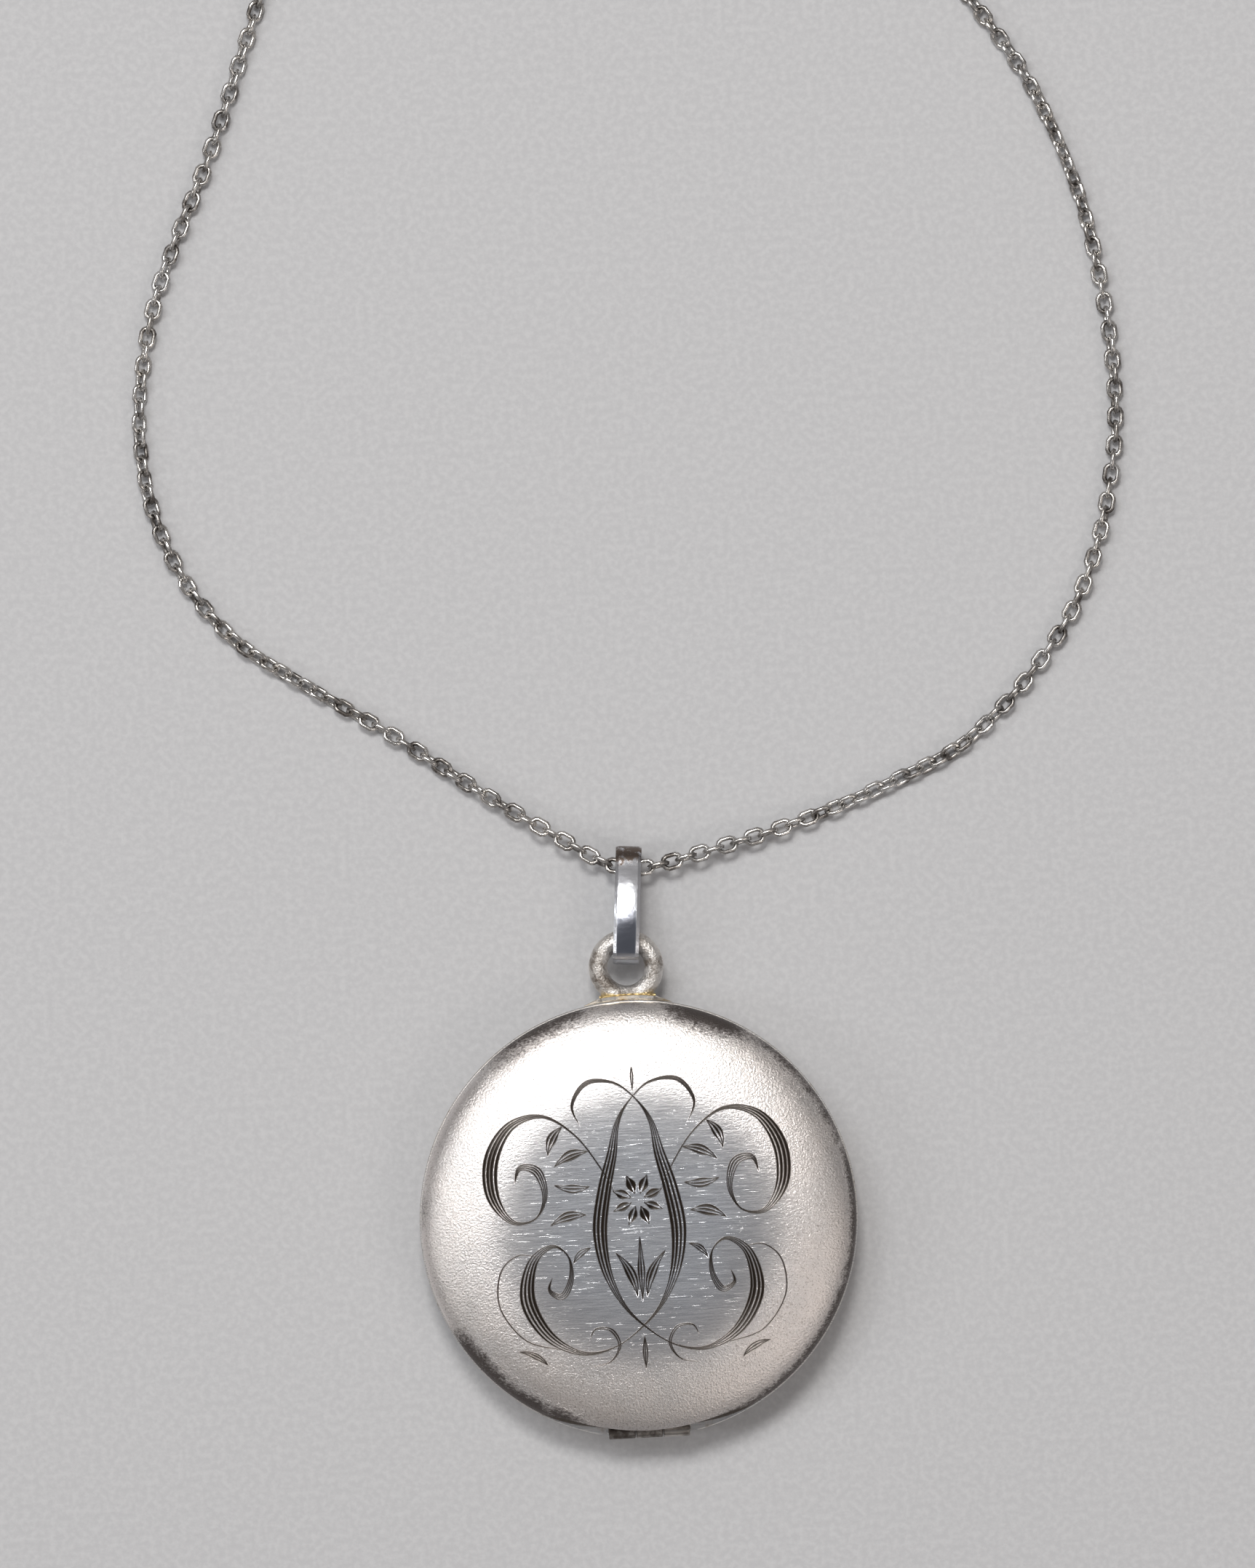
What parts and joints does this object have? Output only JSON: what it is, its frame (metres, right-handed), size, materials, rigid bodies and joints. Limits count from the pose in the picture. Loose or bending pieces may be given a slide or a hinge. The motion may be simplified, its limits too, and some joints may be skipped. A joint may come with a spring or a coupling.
{
  "type": "locket",
  "caption": "Round hinged picture locket with a cast top loop and band bail, on a fine trace chain with a spring-ring clasp.",
  "frame": {"origin": "centre of the back cover's flat outer face, on which the locket rests", "axes": "+X to the wearer's left as the front is looked at (right in the picture), +Y from the hinge to the top loop and chain, +Z out of the front cover"},
  "size_m": [0.0637, 0.1134, 0.006],
  "materials": {
    "silver_case": "satin",
    "silver_loop": "satin",
    "silver_bail": "polished",
    "silver_inside": "satin",
    "silver_chain": "satin",
    "silver_clasp": "polished",
    "hinge_steel": "satin",
    "window": "gloss",
    "picture_card": "matte"
  },
  "bodies": {
    "chain": {"chain_run": "silver_chain", "chain_coil": "silver_chain", "chain_tail": "silver_chain", "clasp_ring": "silver_clasp", "clasp_eye": "silver_clasp", "clasp_spring": "hinge_steel", "jump_ring_tail": "silver_clasp", "jump_ring_run": "silver_clasp"},
    "bolt": {"clasp_bolt": "silver_clasp", "clasp_knob": "silver_clasp"},
    "bail": {"bail": "silver_bail"},
    "case": {"back_cover": "silver_case", "snap_rim": "silver_inside", "back_picture": "picture_card", "back_window": "window", "back_frame": "silver_inside", "hinge_knuckle_left": "silver_case", "hinge_knuckle_right": "silver_case", "hinge_pin": "hinge_steel", "loop_foot": "silver_loop", "top_loop": "silver_loop"},
    "cover": {"front_cover": "silver_case", "front_seat": "silver_inside", "front_picture": "picture_card", "front_window": "window", "front_frame": "silver_inside", "hinge_knuckle_centre": "silver_case"}
  },
  "joints": [
    {"name": "bail_on_chain", "type": "hinge", "parent": "chain", "child": "bail", "pos_m": [0.00047, 0.02263, 0.00156], "axis": [-0.9969, 0.0785, 0], "range_deg": [0, 90]},
    {"name": "case_on_bail", "type": "hinge", "parent": "bail", "child": "case", "pos_m": [0, 0.01789, 0.0024], "axis": [-1, 0, 0], "range_deg": [0, 75]},
    {"name": "cover_hinge", "type": "hinge", "parent": "case", "child": "cover", "pos_m": [0, -0.01362, 0.00332], "axis": [1, 0, 0], "range_deg": [0, 170]},
    {"name": "clasp_bolt_turn", "type": "hinge", "parent": "chain", "child": "bolt", "pos_m": [0.01753, 0.08664, 0.001], "axis": [0, 0, -1], "range_deg": [0, 48], "stiffness_Nm_per_rad": 0.0004, "deforming": ["clasp_spring"]}
  ]
}
